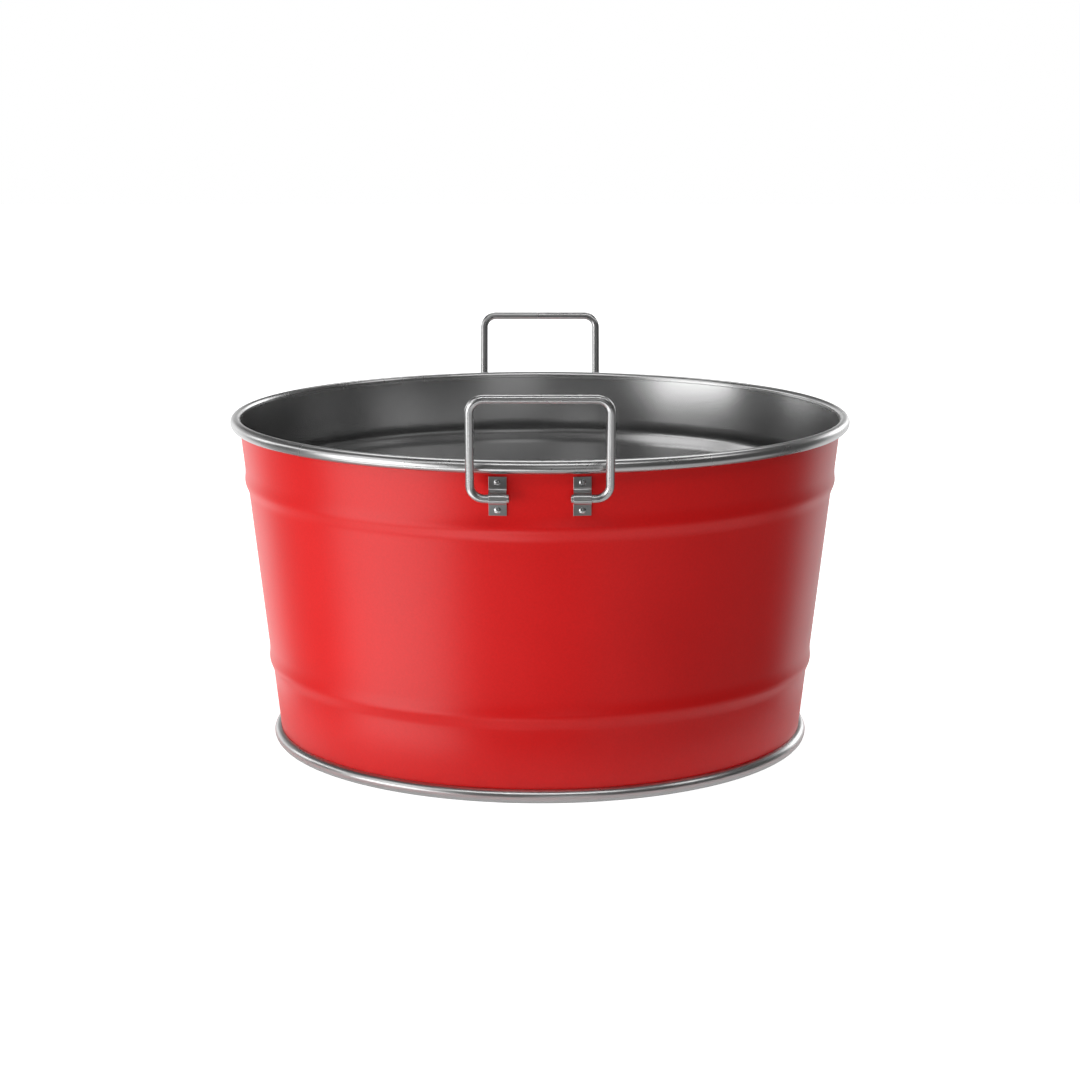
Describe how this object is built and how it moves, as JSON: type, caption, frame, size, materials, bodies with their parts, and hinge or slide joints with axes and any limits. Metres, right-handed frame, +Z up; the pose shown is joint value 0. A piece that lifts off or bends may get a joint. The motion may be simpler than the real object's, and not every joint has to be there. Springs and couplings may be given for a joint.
{
  "type": "drinks tub",
  "caption": "Round red-painted steel drinks tub with swaged beads, rolled steel rim and foot ring, and folding wire handles.",
  "frame": {"origin": "centre of the ground face that the foot ring stands on", "axes": "+Z up; the handles are at -Y (front) and +Y (rear); +X to the right seen from the front"},
  "size_m": [0.47, 0.513, 0.2981],
  "materials": {
    "red_paint": "satin red paint outside, bare steel inside",
    "inside_steel": "satin, finely grained",
    "hoop_steel": "smooth satin",
    "handle_steel": "smooth satin",
    "strap_steel": "plain satin",
    "rivet_steel": "smooth satin",
    "plain_wire": "drawn wire, hidden"
  },
  "bodies": {
    "tub": {"tub_wall": "red_paint", "rim_hoop": "hoop_steel", "foot_ring": "hoop_steel", "floor_pan": "inside_steel", "rim_wire": "plain_wire", "foot_wire": "plain_wire", "front_left_strap": "strap_steel", "front_right_strap": "strap_steel", "rear_left_strap": "strap_steel", "rear_right_strap": "strap_steel", "front_left_upper_rivet": "rivet_steel", "front_left_lower_rivet": "rivet_steel", "front_right_upper_rivet": "rivet_steel", "front_right_lower_rivet": "rivet_steel", "rear_left_upper_rivet": "rivet_steel", "rear_left_lower_rivet": "rivet_steel", "rear_right_upper_rivet": "rivet_steel", "rear_right_lower_rivet": "rivet_steel"},
    "front_handle": {"front_handle": "handle_steel"},
    "rear_handle": {"rear_handle": "handle_steel"}
  },
  "joints": [
    {"name": "front_handle_hinge", "type": "hinge", "parent": "tub", "child": "front_handle", "pos_m": [0, -0.2346, 0.22435], "axis": [1, 0, 0], "range_deg": [-17.5, 175.5]},
    {"name": "rear_handle_hinge", "type": "hinge", "parent": "tub", "child": "rear_handle", "pos_m": [0, 0.2346, 0.22435], "axis": [-1, 0, 0], "range_deg": [-17.5, 175.5]}
  ]
}
